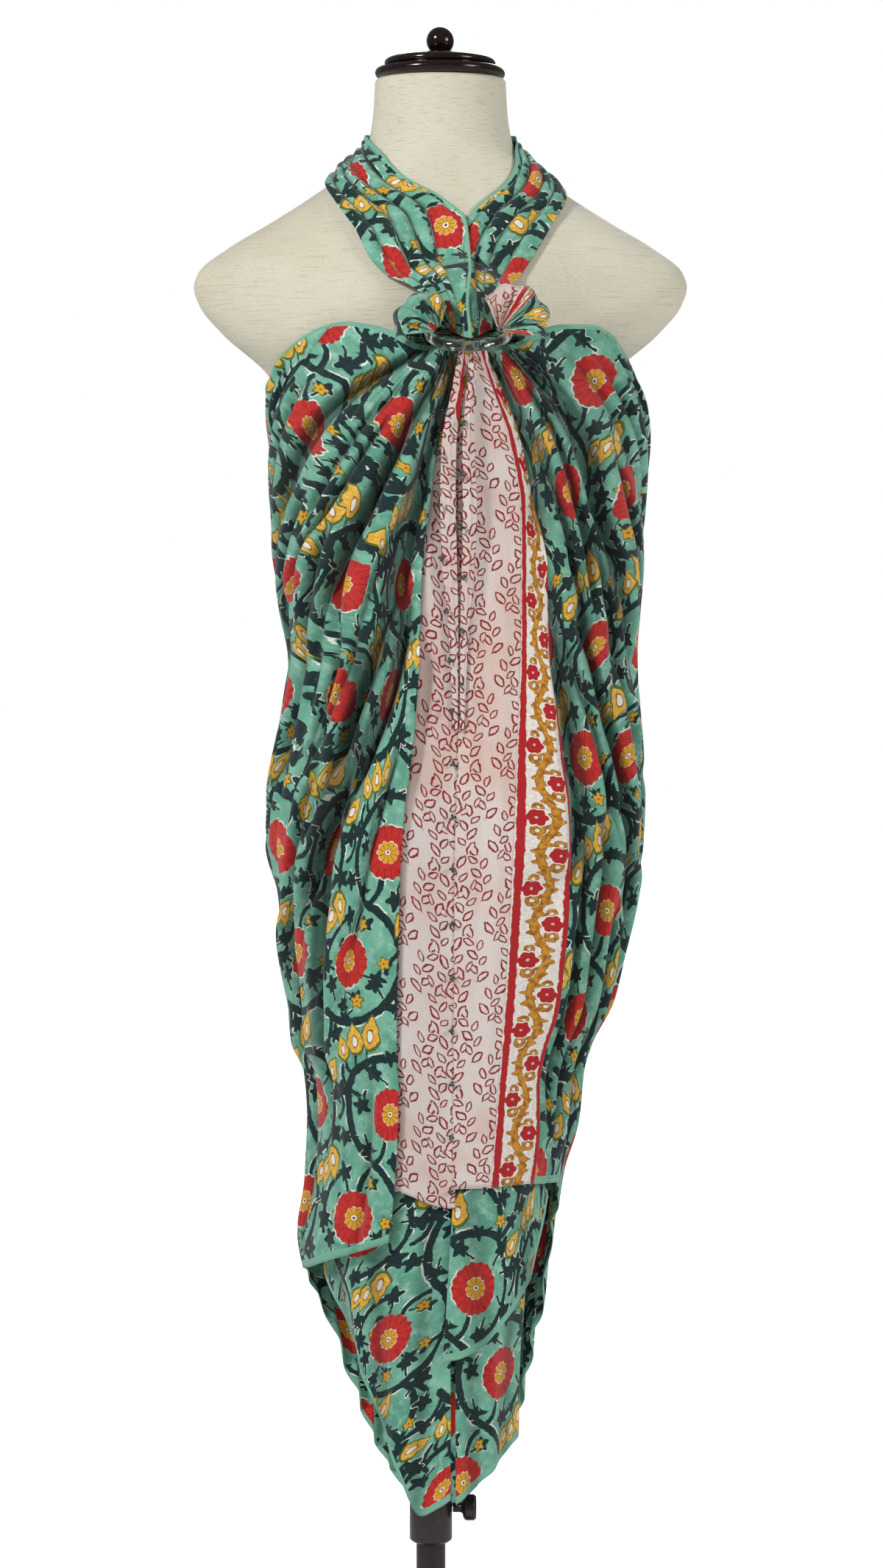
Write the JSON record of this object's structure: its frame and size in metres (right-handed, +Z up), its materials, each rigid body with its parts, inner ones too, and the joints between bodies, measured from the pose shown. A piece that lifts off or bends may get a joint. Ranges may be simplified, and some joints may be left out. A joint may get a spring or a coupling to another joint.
{
  "type": "halter-tied sarong with a sarong ring on a limbless dress form and pole stand",
  "caption": "Printed cotton sarong drawn through a clear ring and knotted at the nape as a halter dress, on a limbless dress form with a pole stand.",
  "frame": {"origin": "middle of the stand base's underside, on the pole's axis, at floor level", "axes": "+Z up along the pole, -Y the front that the picture shows, +X to the right as seen from the front"},
  "size_m": [0.4056, 0.3208, 1.6],
  "materials": {
    "cloth_green": "matte plain-weave cotton, sea-green ground block-printed with dark teal vines, red flowers and yellow buds",
    "cloth_pink": "matte plain-weave cotton, white to blush ground block-printed with fine red leaf sprigs",
    "cloth_border": "matte plain-weave cotton, red stripes and a gold vine with red rosettes on white",
    "clear_resin": "clear polished resin",
    "jersey": "cream cotton jersey with fine cross slubs, drawn smooth over the form",
    "dark_wood": "turned hardwood, near-black brown stain under gloss lacquer",
    "dark_metal": "steel tube with satin black-brown enamel"
  },
  "bodies": {
    "root": {"wrap_front_left": "cloth_green", "wrap_front_right": "cloth_green", "wrap_back": "cloth_green", "tail_left": "cloth_green", "tail_right_upper": "cloth_green", "tail_right_lower": "cloth_green", "strap_left": "cloth_green", "strap_right": "cloth_green", "puff_left": "cloth_green", "puff_right": "cloth_pink", "neck_knot": "cloth_green", "tie_end_left": "cloth_pink", "tie_end_right": "cloth_pink", "end_panel_left": "cloth_pink", "end_panel_right": "cloth_pink", "border_right": "cloth_border", "end_fold_left": "cloth_pink", "end_fold_right": "cloth_pink", "sarong_ring": "clear_resin", "form_torso": "jersey", "neck_cap": "dark_wood", "cap_finial": "dark_wood", "stand_pole_upper": "dark_metal", "stand_pole_lower": "dark_metal", "stand_clamp": "dark_metal", "clamp_screw": "dark_metal", "stand_base": "dark_wood"}
  },
  "joints": []
}
